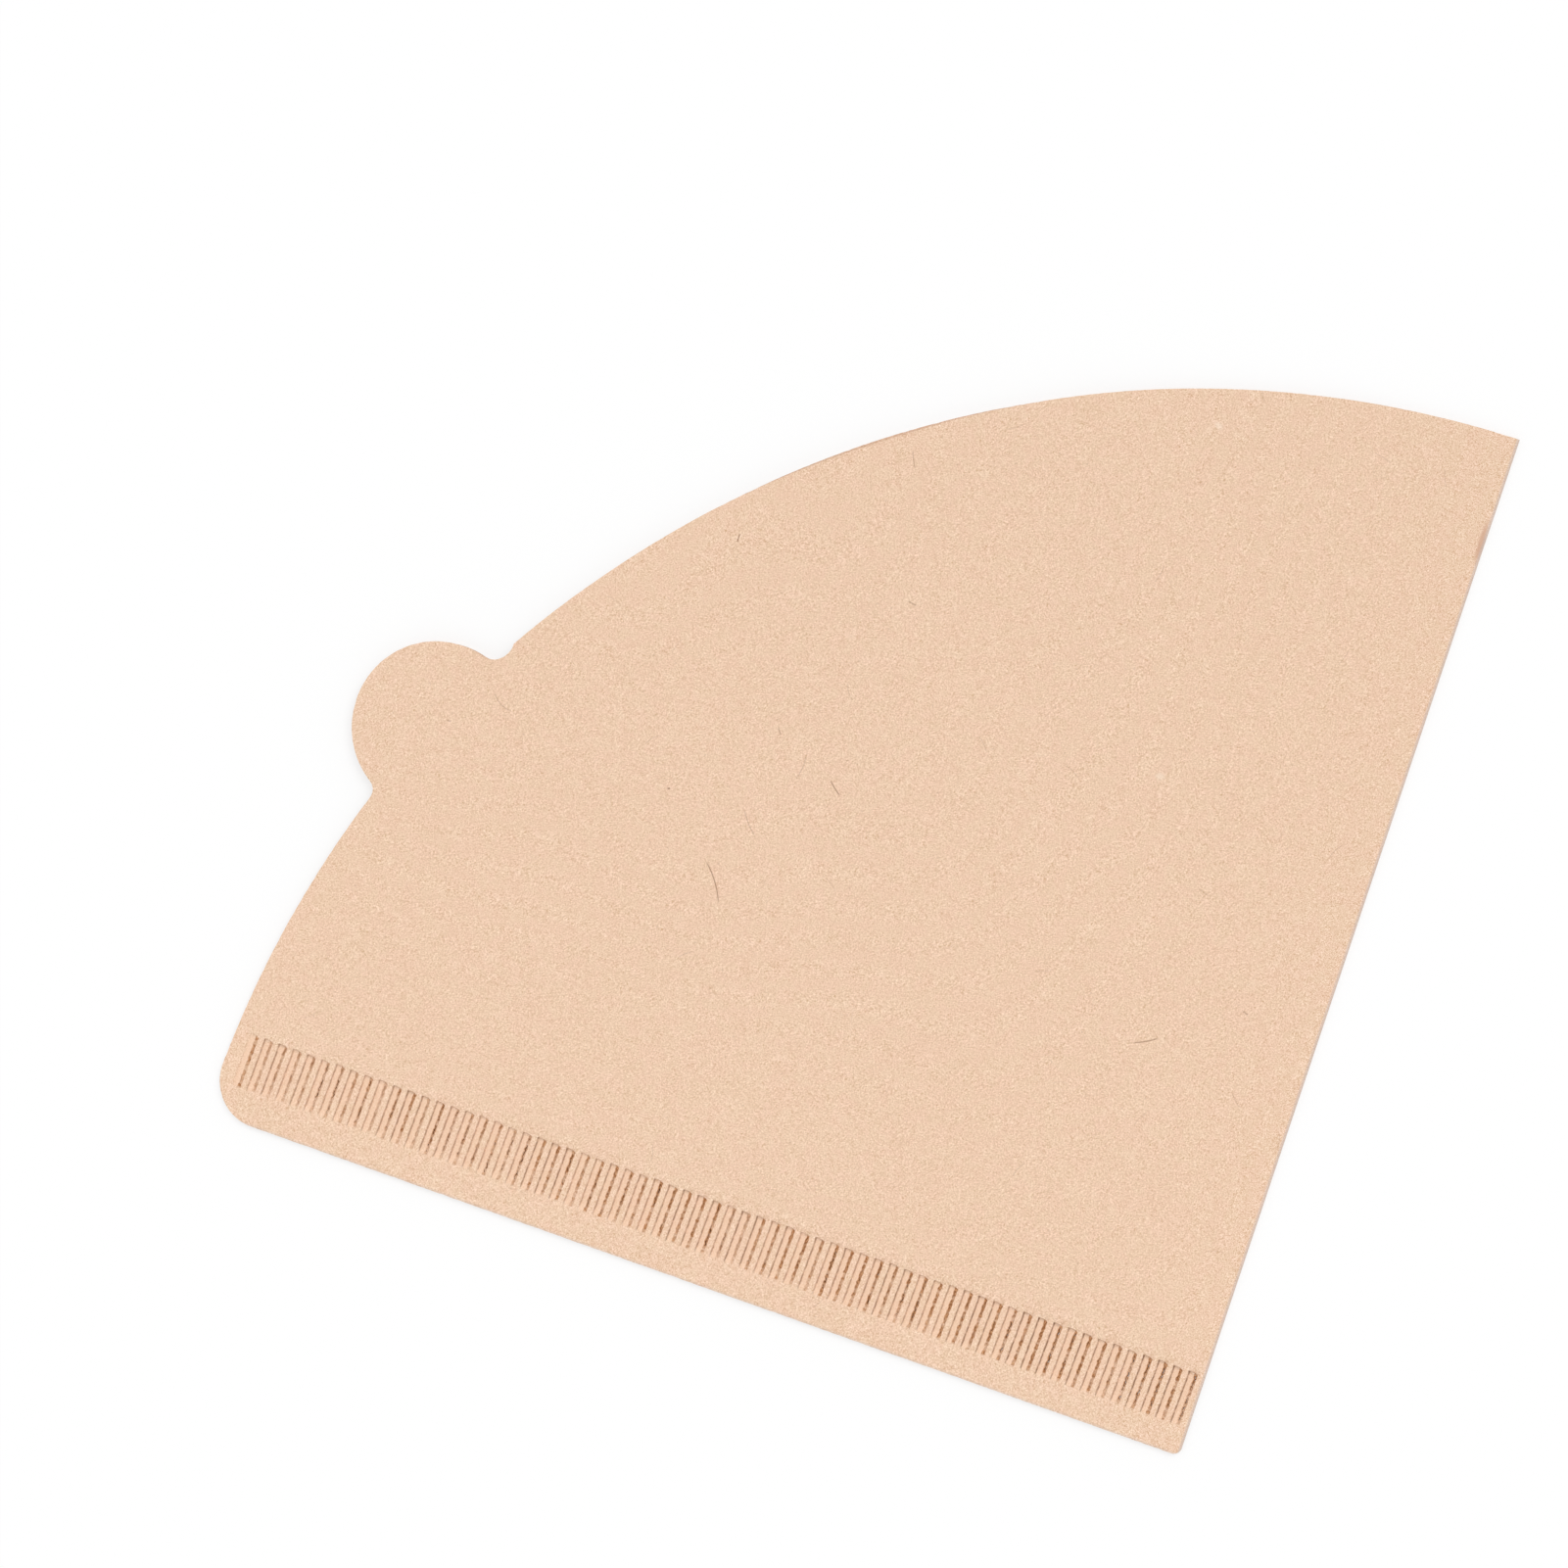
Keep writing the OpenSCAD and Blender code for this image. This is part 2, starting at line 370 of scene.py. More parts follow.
            # Painted shade in the crease and the slit along the step's foot, and a little on its
            # top
            crease = self.crease_shade_tint * (1.0 if column < 4 else 0.35) if 0 < column < last else 0.0
            torn_and_shade = self.slit_tint if 5 < column < last else 0.0
            foot.append(plan.add(x, y - END_STEP, drop, torn_and_shade, crease))
            top.append(plan.add(x, y, 0.0, 0.22 * torn_and_shade, 0.12 * crease))
        return foot, top

    def open_slits(self, plan, grid, rows):
        """Marks each run of open rows as a slit."""
        k = 0
        while k < len(rows):
            first = k
            while k < len(rows) and self.is_open(rows[k]):
                k += 1
            if k - first >= 3:
                sides = [[row[c] for row in grid[first:k]] for c in self.SLIT_COLUMNS]
                plan.chain([side[0] for side in sides])
                plan.chain([side[-1] for side in sides])
                plan.slits.append(tuple(sides))
            k = max(k, first + 1)


def add_crimp(plan, rng, index):
    """One crimp: a tongue pressed down through both plies, torn along the side of the fold."""
    crimp = Crimp(rng, index)
    rows = [crimp.foot + (crimp.end - crimp.foot) * k / (CRIMP_ROWS - 1) for k in range(CRIMP_ROWS)]
    grid = [crimp.add_row(plan, y) for y in rows]
    foot, top = crimp.add_end(plan, grid[-1])
    for column in zip(*grid, foot, top):
        plan.chain(column)
    plan.chain(foot)
    plan.chain(top)
    crimp.open_slits(plan, grid, rows)


def inside(points, ring):
    """Which points lie inside a closed ring."""
    x, y = points[:, 0:1], points[:, 1:2]
    x0, y0 = ring[:, 0], ring[:, 1]
    x1, y1 = np.roll(x0, -1), np.roll(y0, -1)
    crosses = (y0 > y) != (y1 > y)
    rise = np.where(y1 == y0, 1.0, y1 - y0)
    at = x0 + (y - y0) * (x1 - x0) / rise
    return (crosses & (x < at)).sum(axis=1) % 2 == 1


def face_points(ring):
    """An even field of points over the sheet, clear of its edges, its fold and its crimps."""
    rows = np.arange(0, SIDE, FACE_STEP * math.sqrt(3) / 2)
    points = np.array([
        (-x - (FACE_STEP / 2 if k % 2 else 0), y)
        for k, y in enumerate(rows)
        for x in np.arange(0, SIDE + TAB_RADIUS, FACE_STEP)
    ])
    x, y = points[:, 0], points[:, 1]
    crimp_end = -CRIMP_START - CRIMP_WIDTH - (CRIMP_COUNT - 1) * CRIMP_PITCH
    beside_crimps = (y > SEAM_MARGIN - CRIMP_MARGIN) & (y < POCKET_START + LINE_MARGIN)
    over_crimps = beside_crimps & (x > crimp_end - CRIMP_MARGIN)
    on_pocket_line = np.abs(y - POCKET_START) < LINE_MARGIN
    points = points[(x < -FOLD_MARGIN) & ~over_crimps & ~on_pocket_line]
    points = points[inside(points, ring)]
    gaps = ((points[:, None, :] - ring[None, ::2, :]) ** 2).sum(axis=2).min(axis=1)
    return points[gaps > LINE_MARGIN**2]


def make_plan():
    """The whole plan, with the indices of its outline and of the closed edge of the pocket."""
    rng = random.Random(SEED)
    plan = Plan()
    lower = list(np.linspace(APEX_RADIUS + END_MARGIN, POCKET_START, APEX_ROWS))
    count = round((SIDE - POCKET_START) / FOLD_STEP)
    upper = list(np.linspace(POCKET_START, SIDE - END_MARGIN, count))
    rows = lower + upper[1:]
    ring = outline(rows)
    fuzz = Wobble(rng, CUT_FUZZ, (0.9, 1.7, 3.7, 11.0))
    edge = []
    for k, (x, y) in enumerate(ring):
        cut = x < -FOLD_RADIUS - 0.01
        ragged = fuzz.at(k * EDGE_STEP) + rng.uniform(-CUT_FUZZ, CUT_FUZZ) if cut else 0.0
        out = 1 - ragged / max(1.0, math.hypot(x, y))
        if cut and y == 0:
            edge.append(plan.add(x, abs(ragged)))
        else:
            edge.append(plan.add(x * min(out, 1.0), y * min(out, 1.0)))
    plan.chain(edge + edge[:1])

    inner = []
    for column, x in enumerate(fold_columns()[1:], 1):
        at_column = (i for i in edge if abs(plan.points[i][0] - x) < 1e-9)
        ends = sorted(at_column, key=lambda i: plan.points[i][1])
        inside_rows = [plan.add(x, y) for y in rows]
        plan.chain([ends[0]] + inside_rows + [ends[-1]])
        if column == POCKET_COLUMN:
            inner = inside_rows[len(lower) - 1:] + [ends[-1]]
    mouth = min(edge, key=lambda i: math.dist(plan.points[i], mouth_corner()))
    reach = plan.points[mouth][0]
    span = fold_columns()[POCKET_COLUMN] - reach
    steps = round(span / POCKET_STEP)
    along = [plan.add(reach + span * k / steps, POCKET_START) for k in range(1, steps)]
    closed = [mouth] + along + inner
    plan.chain([mouth] + along + [inner[0]])

    for index in range(CRIMP_COUNT):
        add_crimp(plan, rng, index)
        land = -CRIMP_START - CRIMP_WIDTH / 2 - (index - 0.5) * CRIMP_PITCH
        if index:
            for y in np.arange(SEAM_MARGIN + 0.2, CRIMP_TOP, LAND_STEP):
                plan.add(land + crimp_lean(y), y, -LAND_RISE, sleek=LAND_HIGHLIGHT)
    for x, y in face_points(np.array([plan.points[i] for i in edge])):
        plan.add(x, y)
    return plan, edge, closed


def triangulate(plan):
    """Triangles of the plan, without those in the slits."""
    made = delaunay_2d_cdt([Vector(p) for p in plan.points], plan.lines, [], 1, 1e-7)
    faces, came_from = made[2:4]
    if any(len(c) != 1 for c in came_from):
        raise ValueError("lines of the plan cross or points of it meet")
    order = np.array([c[0] for c in came_from])
    faces = order[np.array(faces)]
    points = np.array(plan.points)
    middle = points[faces].mean(axis=1)
    keep = np.ones(len(faces), bool)
    for left, right in plan.slits:
        a, b = points[left], points[right]
        rows = (middle[:, 1] > a[0, 1]) & (middle[:, 1] < a[-1, 1])
        low = np.interp(middle[:, 1], a[:, 1], a[:, 0])
        high = np.interp(middle[:, 1], b[:, 1], b[:, 0])
        keep &= ~(rows & (middle[:, 0] > low) & (middle[:, 0] < high))
    a, b, c = (points[faces[:, k]] for k in range(3))
    turns = (b[:, 0] - a[:, 0]) * (c[:, 1] - a[:, 1]) - (b[:, 1] - a[:, 1]) * (c[:, 0] - a[:, 0])
    faces[turns < 0] = faces[turns < 0][:, ::-1]
    return faces[keep]


# Heights of the faces

def lift(x, y):
    """How far the upper ply bows up: a very flat cone about the inner end of the fold."""
    mouth = math.sqrt(SIDE**2 - POCKET_START**2 / 2) - POCKET_START / math.sqrt(2)
    rise = math.asin(LIFT_HEIGHT / mouth)
    tilt = math.atan(math.sin(rise) / (math.cos(rise) - math.cos(math.radians(45))))
    across, along = np.maximum(-x - FOLD_RADIUS, 0), np.maximum(y - POCKET_START, 0)
    reach = np.hypot(across, along)
    off_middle = np.arctan2(along, np.maximum(across, 1e-9)) - math.radians(45)
    height = reach * (np.cos(off_middle) * math.tan(tilt) - math.sin(tilt - rise) / math.cos(tilt))
    height = np.maximum(height, 0)
    waves = 0.5 + 0.25 * np.sin(x / 5.3 + y / 8.7 + 1.0) + 0.25 * np.sin(x / 9.1 - y / 6.1)
    return height * (1 - WAVES * waves)


def slip(x, y):
    """How far the upper ply is drawn in at the rim, where it bows up and bares the lower one."""
    turn = np.degrees(np.arctan2(y, np.maximum(-x, 1e-9)))
    most = sum(far * np.exp(-(((turn - at) / spread) ** 2)) for at, spread, far in DRAWN_IN)
    return most * np.clip((np.hypot(x, y) / SIDE - DRAWN_FROM) / (1 - DRAWN_FROM), 0, 1) ** 2


def fold_share(x):
    """1 over the level plies, falling to 0 at the outermost line of the fold."""
    inward = np.clip((x + FOLD_RADIUS) / FOLD_RADIUS, 0, 1)
    return np.sqrt(1 - inward**2)


def table_gap(y):
    """Height of the lower ply's underside: it hangs in the seam, then comes down to the table."""
    t = np.clip((y - POCKET_START) / PLY_DROP, 0, 1)
    return CRIMP_DEPTH * (1 - t * t * (3 - 2 * t))


def heights(points, drop):
    """Heights of the four faces: top, the pocket's ceiling and floor, and the underside."""
    x, y = points[:, 0], points[:, 1]
    rise = lift(x, y)
    top = FOLD_RADIUS * (1 + fold_share(x)) + rise - drop
    pressed = np.maximum(drop, 0) / UPPER_PRESS
    under = np.maximum(table_gap(y), FOLD_RADIUS * (1 - fold_share(x))) - pressed
    under = np.maximum(under, 0)
    ceiling = EDGE_HEIGHT - PLY + rise
    floor = PLY + table_gap(y)
    inner_edge = fold_columns()[POCKET_COLUMN]
    inward = np.clip((x + FOLD_RADIUS) / (inner_edge + FOLD_RADIUS), 0, 1)
    share = np.sqrt(1 - inward**2)
    level = (ceiling + floor) / 2
    return top, level + (ceiling - level) * share, level - (level - floor) * share, under


# The sheet's mesh

def directed_edges(faces):
    """Edges that only one triangle has, as that triangle runs them, with the triangle."""
    owner = {}
    for f, (a, b, c) in enumerate(faces.tolist()):
        for edge in ((a, b), (b, c), (c, a)):
            owner[edge] = f
    return [(a, b, f) for (a, b), f in owner.items() if (b, a) not in owner]


class Sheet:
    """Vertices of the folded sheet, with their tints, and its polygons."""

    def __init__(self, plan, edge, closed):
        self.plan = plan
        self.points = np.array(plan.points)
        self.on_edge, self.on_closed = set(edge), set(closed)
        self.faces = triangulate(plan)
        middle = self.points[self.faces].mean(axis=1)
        off_fold = middle[:, 0] < fold_columns()[POCKET_COLUMN]
        self.in_pocket = (middle[:, 1] > POCKET_START) & off_fold
        self.verts, self.torn_and_shade, self.crease, self.sleek = [], [], [], []
        self.groove = {}
        self.polygons = []

    def vertex(self, i, height, inset=0.0, shift=0.0, groove_shade=0.0):
        """inset draws a vertex in towards the apex, shift moves it along X."""
        x, y = self.points[i]
        size = math.hypot(x, y)
        pull = 1 - inset / size if inset and size > 2 else 1
        self.verts.append((APEX[0] + x * pull + shift, APEX[1] + y * pull, height))
        self.torn_and_shade.append(self.plan.torn_and_shade[i])
        self.crease.append(max(self.plan.crease[i], groove_shade))
        self.sleek.append(self.plan.sleek[i])
        return len(self.verts) - 1

    def on_fold(self, i):
        return self.points[i][0] == 0

    def add_vertices(self):
        x, y = self.points.T
        drawn_in = slip(x, y)
        top, ceiling, floor, under = heights(self.points, np.array(self.plan.drop))
        self.half_way = (top + under) / 2
        used = sorted(set(self.faces.ravel().tolist()))
        self.upper = {i: self.vertex(i, top[i], drawn_in[i]) for i in used}
        self.lower = {}
        for i in used:
            at_fold = self.on_fold(i)
            shift = self.plan.shift[i]
            self.lower[i] = self.upper[i] if at_fold else self.vertex(i, under[i], shift=shift)
        self.roof, self.base = {}, {}
        for i in sorted(set(self.faces[self.in_pocket].ravel().tolist())):
            self.roof[i] = self.vertex(i, ceiling[i], drawn_in[i])
            self.base[i] = self.roof[i] if i in self.on_closed else self.vertex(i, floor[i])

    def edge_middle(self, i):
        """The line between the two plies, on a cut edge of the seam."""
        if i in self.roof:
            return self.roof[i]
        if self.on_fold(i):
            return self.upper[i]
        if i not in self.groove:
            inset = EDGE_GROOVE if self.points[i][0] < -1 else 0.0
            # The groove's vertices carry painted shade
            self.groove[i] = self.vertex(i, self.half_way[i], inset, groove_shade=GROOVE_SHADE)
        return self.groove[i]

    def quad(self, *corners):
        kept = [c for k, c in enumerate(corners) if c != corners[k - 1]]
        if len(set(kept)) >= 3:
            self.polygons.append(tuple(kept))

    def add_plies(self):
        """The upper and lower faces, then the pocket's ceiling and floor."""
        upper, lower, roof, base = self.upper, self.lower, self.roof, self.base
        for a, b, c in self.faces.tolist():
            self.polygons.append((upper[a], upper[b], upper[c]))
            self.polygons.append((lower[c], lower[b], lower[a]))
        for a, b, c in self.faces[self.in_pocket].tolist():
            self.polygons.append((roof[c], roof[b], roof[a]))
            self.polygons.append((base[a], base[b], base[c]))

    def add_walls(self):
        """The cut edges and the walls of the slits."""
        upper, lower, roof, base = self.upper, self.lower, self.roof, self.base
        middle = self.edge_middle
        for a, b, f in directed_edges(self.faces):
            if self.on_fold(a) and self.on_fold(b):
                continue
            if a not in self.on_edge or b not in self.on_edge:
                self.quad(upper[a], lower[a], lower[b], upper[b])
            elif self.in_pocket[f]:
                self.quad(upper[a], roof[a], roof[b], upper[b])
                self.quad(base[a], lower[a], lower[b], base[b])
            else:
                self.quad(upper[a], middle(a), middle(b), upper[b])
                self.quad(middle(a), lower[a], lower[b], middle(b))

    def mesh(self, name):
        mesh = bpy.data.meshes.new(name)
        mesh.from_pydata((np.array(self.verts) * MM).tolist(), [], self.polygons)
        tints = {"torn_and_shade": self.torn_and_shade, "crease": self.crease, "sleek": self.sleek}
        for tint, values in tints.items():
            layer = mesh.attributes.new(tint, "FLOAT", "POINT")
            layer.data.foreach_set("value", np.array(values, np.float32))
        mesh.validate()
        mesh.shade_smooth()
        mesh.set_sharp_from_angle(angle=math.radians(SHARP_FROM))
        return mesh


def build_sheet():
    sheet = Sheet(*make_plan())
    sheet.add_vertices()
    sheet.add_plies()
    sheet.add_walls()
    piece = bpy.data.objects.new("folded_sheet", sheet.mesh("folded_sheet"))
    bpy.context.scene.collection.objects.link(piece)
    triangles = sum(len(p) - 2 for p in sheet.polygons)
    print("sheet triangles", triangles, "slits", len(sheet.plan.slits))
    return piece


# Materials

class Shader:
    """Short calls that add nodes to a material."""

    def __init__(self, name):
        self.material = bpy.data.materials.new(name)
        self.material.use_nodes = True
        self.tree = self.material.node_tree
        self.tree.nodes.clear()
        self.out = self.tree.nodes.new("ShaderNodeOutputMaterial")

    def put(self, socket, value):
        if isinstance(value, bpy.types.NodeSocket):
            self.tree.links.new(value, socket)
        elif value is not None:
            socket.default_value = value

    def node(self, kind, inputs=None, **settings):
        node = self.tree.nodes.new(kind)
        for name, value in settings.items():
            setattr(node, name, value)
        for name, value in (inputs or {}).items():
            self.put(node.inputs[name], value)
        return node

    def math(self, operation, a, b=None):
        node = self.node("ShaderNodeMath", operation=operation)
        self.put(node.inputs[0], a)
        self.put(node.inputs[1], b)
        return node.outputs[0]

    def vector(self, operation, a, b=None, scale=None):
        node = self.node("ShaderNodeVectorMath", operation=operation)
        self.put(node.inputs[0], a)
        self.put(node.inputs[1], b)
        if scale is not None:
            self.put(node.inputs["Scale"], scale)
        return node.outputs[0]

    def ramp(self, value, from_low, from_high, to_low=0.0, to_high=1.0, smooth=True):
        kind = "SMOOTHSTEP" if smooth else "LINEAR"
        inputs = {"Value": value, "From Min": from_low, "From Max": from_high}
        inputs.update({"To Min": to_low, "To Max": to_high})
        return self.node("ShaderNodeMapRange", inputs, interpolation_type=kind).outputs[0]

    def mix(self, share, a, b):
        node = self.node("ShaderNodeMix", data_type="RGBA")
        self.put(node.inputs["Factor"], share)
        self.put(node.inputs[6], a)
        self.put(node.inputs[7], b)
        return node.outputs[2]

    def noise(self, place, size, detail=2.0, roughness=0.5, distortion=0.0):
        inputs = {"Vector": place, "Scale": 1 / size, "Detail": detail}
        inputs.update({"Roughness": roughness, "Distortion": distortion})
        return self.node("ShaderNodeTexNoise", inputs).outputs["Fac"]

    def stretched(self, place, turn, stretch):
        """The place, turned about Z and drawn out, so that a noise becomes streaks."""
        inputs = {"Vector": place, "Rotation": (0, 0, math.radians(turn))}
        turned = self.node("ShaderNodeMapping", inputs).outputs[0]
        return self.vector("MULTIPLY", turned, (1 / stretch, 1, 1))

    def fibres(self, place, cell, length, width, share, offset, bow):
        """Short bowed lines, at most one in each cell of that size, in a share of the cells."""
        moved = self.vector("ADD", place, (offset, offset * 0.7, 0))
        flat = self.vector("MULTIPLY", moved, (1, 1, 0))
        inputs = {"Vector": flat, "Scale": 1 / cell}
        cells = self.node("ShaderNodeTexVoronoi", inputs, voronoi_dimensions="2D")
        away = self.vector("SUBTRACT", flat, cells.outputs["Position"])
        random_parts = self.node("ShaderNodeSeparateColor", {"Color": cells.outputs["Color"]})
        turn = self.math("MULTIPLY", random_parts.outputs[0], 2 * math.pi)
        line = self.line(away, turn, length, width, bow)
        picked = self.math("LESS_THAN", random_parts.outputs[1], share)
        strength = self.ramp(random_parts.outputs[2], 0.0, 1.0, 0.35, 1.0, False)
        return self.math("MULTIPLY", self.math("MULTIPLY", line, picked), strength)

    def line(self, away, turn, length, width, bow):
        """One bowed line about the point that the places are measured from."""
        inputs = {"Vector": away, "Angle": turn}
        turned = self.node("ShaderNodeVectorRotate", inputs, rotation_type="Z_AXIS")
        parts = self.node("ShaderNodeSeparateXYZ", {"Vector": turned.outputs[0]})
        along, across = parts.outputs[0], parts.outputs[1]
        bend = self.math("MULTIPLY", self.math("MULTIPLY", along, along), bow / length)
        off = self.math("ABSOLUTE", self.math("SUBTRACT", across, bend))
        on_line = self.ramp(off, width * 0.5, width * 0.15)
        near = self.ramp(self.math("ABSOLUTE", along), length * 0.5, length * 0.35)
        return self.math("MULTIPLY", on_line, near)

    def hair(self, place, start, end, width, bow):
        """One bowed line between two places in plan."""
        middle = ((start[0] + end[0]) / 2, (start[1] + end[1]) / 2, 0.0)
        turn = math.atan2(end[1] - start[1], end[0] - start[0])
        away = self.vector("SUBTRACT", place, middle)
        return self.line(away, -turn, math.dist(start, end) * 1.1, width, bow)

    def spot(self, place, middle, turn, size):
        """A soft oval spot in plan, 1 at its middle."""
        inputs = {"Vector": place, "Center": middle + (0.0,), "Angle": -math.radians(turn)}
        turned = self.node("ShaderNodeVectorRotate", inputs, rotation_type="Z_AXIS")
        away = self.vector("SUBTRACT", turned.outputs[0], middle + (0.0,))
        flat = self.vector("MULTIPLY", away, (2 / size[0], 2 / size[1], 0.0))
        far = self.node("ShaderNodeVectorMath", {0: flat}, operation="LENGTH").outputs["Value"]
        return self.ramp(far, 1.0, 0.3)


def linear(red, green, blue):
    """A colour as it shows on screen, 0 to 255, as the renderer takes it."""
    parts = [c / 255 for c in (red, green, blue)]
    parts = [c / 12.92 if c <= 0.04045 else ((c + 0.055) / 1.055) ** 2.4 for c in parts]
    return (*parts, 1.0)


PAPER_PINK = linear(239.4, 204.6, 178)
PAPER_YELLOW = linear(238.4, 206.4, 178)
DARK_FIBRE = linear(150, 104, 78)
PALE_FIBRE = linear(250, 229, 208)
# The slits' colours: torn fibres, darkened with painted shade
TORN_AND_SHADE = linear(216, 164, 122)
TORN_AND_SHADE_DARK = linear(160, 106, 66)
# Painted shade in the crimps' creases and curved ends and in the groove between the plies
CREASE_SHADE = linear(152, 117, 92)
# Painted highlight on the land between crimps, beside the slits and on the tongues
HIGHLIGHT = linear(254, 214, 184)
SOIL = linear(214, 174, 148)
# Painted shade on the round of the fold and at the seam's cut edge
EDGE_SHADE_GREY = linear(175, 175, 182)

# How strongly the grain shows in red, green and blue, and its share of the paper's tone
GRAIN_TINT = (0.7, 1.0, 1.38)
GRAIN_DEPTH = 0.52
# Painted light: the paper's brightness at the foot and at the top of the sheet, lighter at the foot
LIGHT_AT_SEAM, LIGHT_AT_RIM = 1.008, 0.978

# Fibres strewn over the felt: size of a cell, length, width, share of the cells, offset and bow,
# then their colour and its strength
FIBRES = [
    (1.9, 1.3, 0.1, 0.8, 3.0, 0.5, PALE_FIBRE, 0.18),
    (2.6, 1.2, 0.1, 0.7, 11.0, 0.5, DARK_FIBRE, 0.13),
    (2.2, 0.28, 0.16, 0.22, 23.0, 0.0, DARK_FIBRE, 0.32),
    (11.0, 2.2, 0.13, 0.3, 5.0, 0.3, DARK_FIBRE, 0.35),
]

# Single hairs on the upper face: two ends in plan, in millimetres, then width, bow and strength
HAIRS = [
    ((-12.4, -13.6), (-9.7, -17.4), 0.21, -0.25, 0.62),
    ((-2.2, -0.8), (-0.7, -2.0), 0.2, 0.1, 0.65),
    ((39.3, -17.4), (41.7, -16.1), 0.2, 0.15, 0.58),
    ((-0.2, 20.8), (0.8, 20.6), 0.24, 0.1, 0.45),
    ((-41.9, -3.8), (-39.5, -5.1), 0.18, 0.5, 0.35),
    ((49.6, -10.2), (50.3, -10.4), 0.22, 0.0, 0.5),
    ((-9.7, 3.0), (-9.2, 2.3), 0.22, 0.0, 0.45),
    ((-19.5, -7.4), (-19.2, -7.3), 0.28, 0.0, 0.8),
    ((-10.5, -7.0), (-8.5, -9.3), 0.17, 0.2, 0.38),
    ((40.6, 1.0), (42.1, 0.5), 0.16, 0.2, 0.25),
    ((51.3, -19.1), (52.7, -20.4), 0.16, 0.2, 0.25),
    ((-20.75, 22.0), (-20.75, 21.05), 0.22, 0.1, 0.75),
    ((-5.1, 36.7), (-4.3, 35.0), 0.18, 0.1, 0.4),
    ((-5.5, 1.0), (-5.8, -1.9), 0.17, -0.3, 0.3),
    ((-46.1, -8.1), (-45.5, -8.1), 0.2, 0.0, 0.4),
]
# A soiled strip at the fold and two pale spots: middle in plan, turn, sizes, colour and strength
SPOTS = [
    ((58.05, 46.6), 92, (6.4, 0.9), SOIL, 0.9),
    ((32.7, 11.3), 20, (1.5, 1.1), PALE_FIBRE, 0.5),
    ((26.6, 49.8), -30, (1.4, 1.0), PALE_FIBRE, 0.5),
]


def paper_material():
    """Unbleached filter paper: a felt of pale fibres, with clouds, flecks and a few dark hairs, and
    painted light and shade at the crimps, the fold and the cut edge.
    """
    s = Shader("unbleached_paper")
    place = s.vector("SCALE", s.node("ShaderNodeTexCoord").outputs["Object"], None, 1 / MM)

    clouds = s.noise(place, 1.8, 2.0, 0.6)
    colour = s.mix(s.ramp(clouds, 0.35, 0.65), PAPER_PINK, PAPER_YELLOW)
    grain = s.noise(place, 0.06, 1.0, 0.6)
    felt_a = s.noise(s.stretched(place, 35, 3), 0.055, 0.0, 0.5, 0.4)
    felt_b = s.noise(s.stretched(place, -50, 3), 0.06, 0.0, 0.5, 0.4)
    felt = s.math("ADD", felt_a, felt_b)
    relief = s.math("ADD", s.math("MULTIPLY", grain, 0.8), s.math("MULTIPLY", felt, 0.6))
    depth = s.ramp(relief, 0.6, 1.4, -GRAIN_DEPTH, GRAIN_DEPTH, False)
    tone = s.vector("SCALE", GRAIN_TINT, None, depth)
    across, along, height = s.node("ShaderNodeSeparateXYZ", {"Vector": place}).outputs
    # Painted light: the paper is lighter at the foot of the sheet and darker towards its top
    level = s.ramp(along, -58.0, 58.0, LIGHT_AT_SEAM, LIGHT_AT_RIM, False)
    colour = s.vector("SCALE", colour, None, level)
    colour = s.vector("MULTIPLY", colour, s.vector("ADD", tone, (1, 1, 1)))
    for *shape, tint, strength in FIBRES:
        share = s.math("MULTIPLY", s.fibres(place, *shape), strength)
        colour = s.mix(share, colour, tint)

    top = s.ramp(height, 0.45, 0.55)
    flat = s.vector("MULTIPLY", place, (1, 1, 0))
    for middle, turn, size, tint, strength in SPOTS:
        spot = s.math("MULTIPLY", s.spot(flat, middle, turn, size), top)
        colour = s.mix(s.math("MULTIPLY", spot, strength), colour, tint)
    for start, end, width, bow, strength in HAIRS:
        hair = s.math("MULTIPLY", s.hair(flat, start, end, width, bow), top)
        colour = s.mix(s.math("MULTIPLY", hair, strength), colour, DARK_FIBRE)

    # Painted shade: the round of the fold and the seam's cut edge are greyer
    at_fold = s.ramp(across, APEX[0] - 0.34, APEX[0] - 0.14, 0.0, 0.36)
    at_cut = s.ramp(along, APEX[1] + 0.34, APEX[1] + 0.1, 0.0, 0.2)
    colour = s.mix(s.math("MAXIMUM", at_fold, at_cut), colour, EDGE_SHADE_GREY)
    # Painted highlight on the land between crimps, beside the slits and on the tongues
    sleek = s.node("ShaderNodeAttribute", attribute_name="sleek").outputs["Fac"]
    colour = s.mix(s.math("MULTIPLY", sleek, 0.5), colour, HIGHLIGHT)
    # Painted shade in the crimps' creases and curved ends and in the groove between the plies
    crease = s.node("ShaderNodeAttribute", attribute_name="crease").outputs["Fac"]
    colour = s.mix(crease, colour, CREASE_SHADE)
    # The slits: torn fibres with painted shade
    shreds = s.noise(s.vector("MULTIPLY", place, (1, 0.6, 1)), 0.13, 1.0, 0.6)
    torn_and_shade_colour = s.mix(s.ramp(shreds, 0.35, 0.65), TORN_AND_SHADE_DARK, TORN_AND_SHADE)
    torn_and_shade = s.node("ShaderNodeAttribute", attribute_name="torn_and_shade").outputs["Fac"]
    colour = s.mix(torn_and_shade, colour, torn_and_shade_colour)

    bump = s.node("ShaderNodeBump", {"Height": relief, "Strength": 0.35, "Distance": 0.00006})
    surface = s.node("ShaderNodeBsdfPrincipled", {
        "Base Color": colour,
        "Roughness": 0.95,
        "Specular IOR Level": 0.15,
        "Normal": bump.outputs[0],
    })
    s.put(s.out.inputs["Surface"], surface.outputs[0])
    return s.material


FLOOR_WHITE = (0.8, 0.8, 0.8, 1.0)
SEEN_WHITE = (1.0, 1.0, 1.0, 1.0)
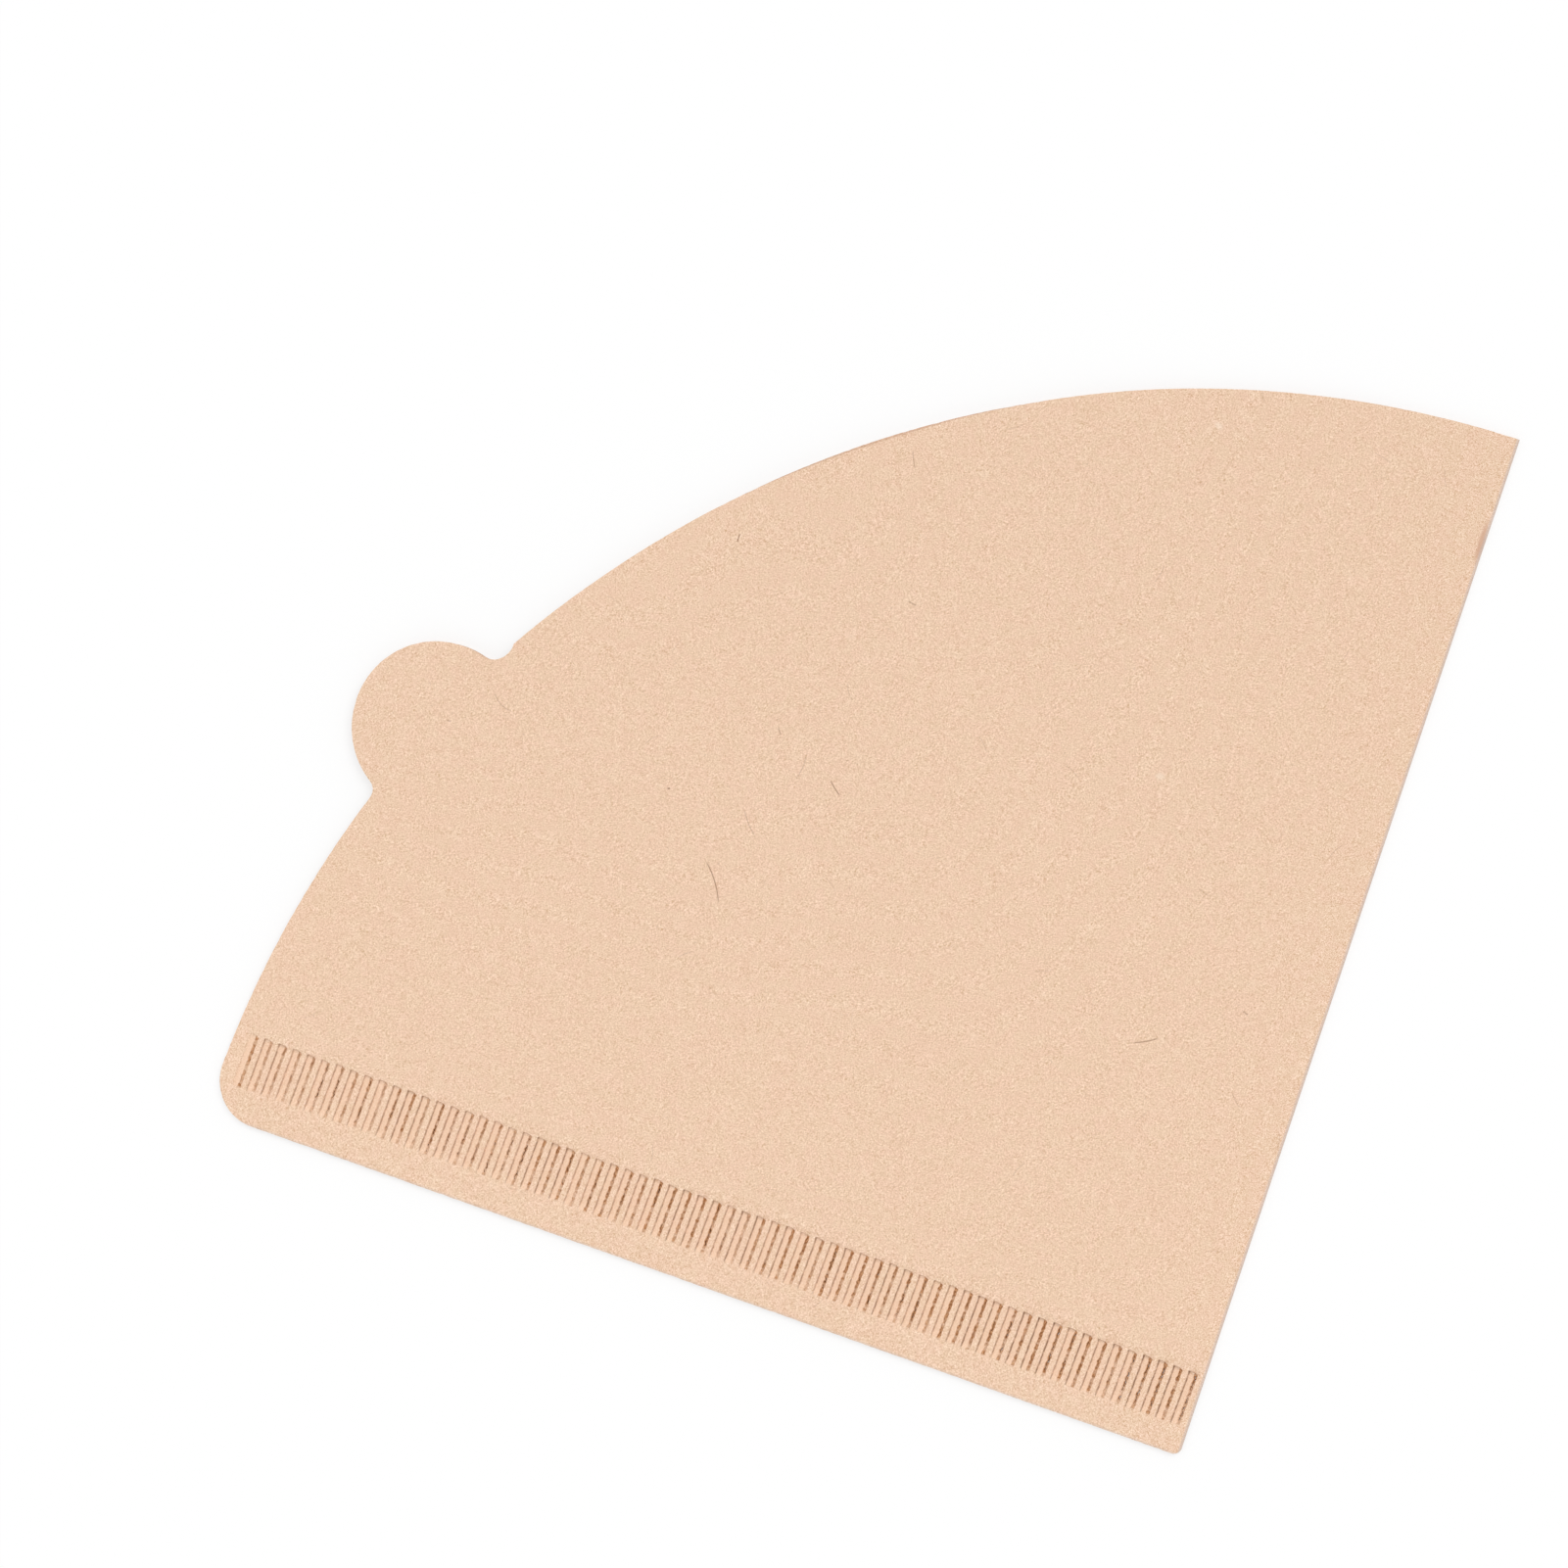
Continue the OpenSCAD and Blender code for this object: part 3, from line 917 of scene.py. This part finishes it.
# Share of the floor's seen colour that is even white, which softens the object's shadow
EVEN_SHARE = 0.7


def floor_material():
    """A matt white floor that the camera sees as paper white, with the object's shadow on it."""
    s = Shader("white_floor")
    path = s.node("ShaderNodeLightPath")
    seen = s.math("MAXIMUM", path.outputs["Is Camera Ray"], path.outputs["Is Glossy Ray"])
    colour = s.mix(seen, FLOOR_WHITE, SEEN_WHITE)
    surface = s.node(
        "ShaderNodeBsdfPrincipled",
        {"Base Color": colour, "Roughness": 1.0, "Specular IOR Level": 0.0},
    )
    even = s.node("ShaderNodeEmission", {"Color": SEEN_WHITE, "Strength": 1.0})
    both = s.node("ShaderNodeMixShader", {0: s.math("MULTIPLY", seen, EVEN_SHARE)})
    s.put(both.inputs[1], surface.outputs[0])
    s.put(both.inputs[2], even.outputs[0])
    s.put(s.out.inputs["Surface"], both.outputs[0])
    return s.material


# Floor, light and camera

FLOOR_SIZE = 6.0
FLOOR_GAP = 0.00004
SUN_FROM = (0.69, 0.72)
SUN_HEIGHT = math.radians(58)
SUN_SPREAD = math.radians(35)
SUN_STRENGTH = 1.04
SKY_STRENGTH = 0.72

# The camera's place in millimetres and its turn in degrees, worked out from the photo's
# outline of the sheet. The focal length is in pixels of the photo's 1601 pixel frame.
PHOTO_SIDE = 1601
FOCAL_PIXELS = 8000
SENSOR_WIDTH = 36
CAMERA_PLACE = (180.48, 18.68, 849.1)
CAMERA_TURN = (2.664, 12.275, 18.865)


def add_floor():
    bpy.ops.mesh.primitive_plane_add(size=FLOOR_SIZE, location=(0, 0, -FLOOR_GAP))
    floor = bpy.context.object
    floor.name = "floor"
    floor.data.materials.append(floor_material())


def add_light():
    sun = bpy.data.lights.new("sun", "SUN")
    sun.energy = SUN_STRENGTH
    sun.angle = SUN_SPREAD
    lamp = bpy.data.objects.new("sun", sun)
    bpy.context.scene.collection.objects.link(lamp)
    level = math.cos(SUN_HEIGHT)
    towards = Vector((SUN_FROM[0] * level, SUN_FROM[1] * level, math.sin(SUN_HEIGHT)))
    lamp.rotation_euler = towards.to_track_quat("Z", "Y").to_euler()
    world = bpy.data.worlds.new("sky")
    world.use_nodes = True
    tree = world.node_tree
    sky = tree.nodes["Background"]
    sky.inputs["Color"].default_value = (1, 1, 1, 1)
    path = tree.nodes.new("ShaderNodeLightPath")
    strength = tree.nodes.new("ShaderNodeMapRange")
    strength.inputs["To Min"].default_value = SKY_STRENGTH
    strength.inputs["To Max"].default_value = 1.0
    tree.links.new(path.outputs["Is Camera Ray"], strength.inputs["Value"])
    tree.links.new(strength.outputs[0], sky.inputs["Strength"])
    bpy.context.scene.world = world


def add_camera():
    data = bpy.data.cameras.new("camera")
    data.sensor_width = SENSOR_WIDTH
    data.lens = FOCAL_PIXELS / PHOTO_SIDE * SENSOR_WIDTH
    data.clip_end = 20
    camera = bpy.data.objects.new("camera", data)
    camera.location = Vector(CAMERA_PLACE) * MM
    camera.rotation_euler = Euler([math.radians(a) for a in CAMERA_TURN], "XYZ")
    bpy.context.scene.collection.objects.link(camera)
    bpy.context.scene.camera = camera


bpy.context.scene.view_settings.view_transform = "Standard"
add_camera()
add_floor()
add_light()

sheet = build_sheet()
sheet.data.materials.append(paper_material())
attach(sheet, "root")
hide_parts("filter_paper")
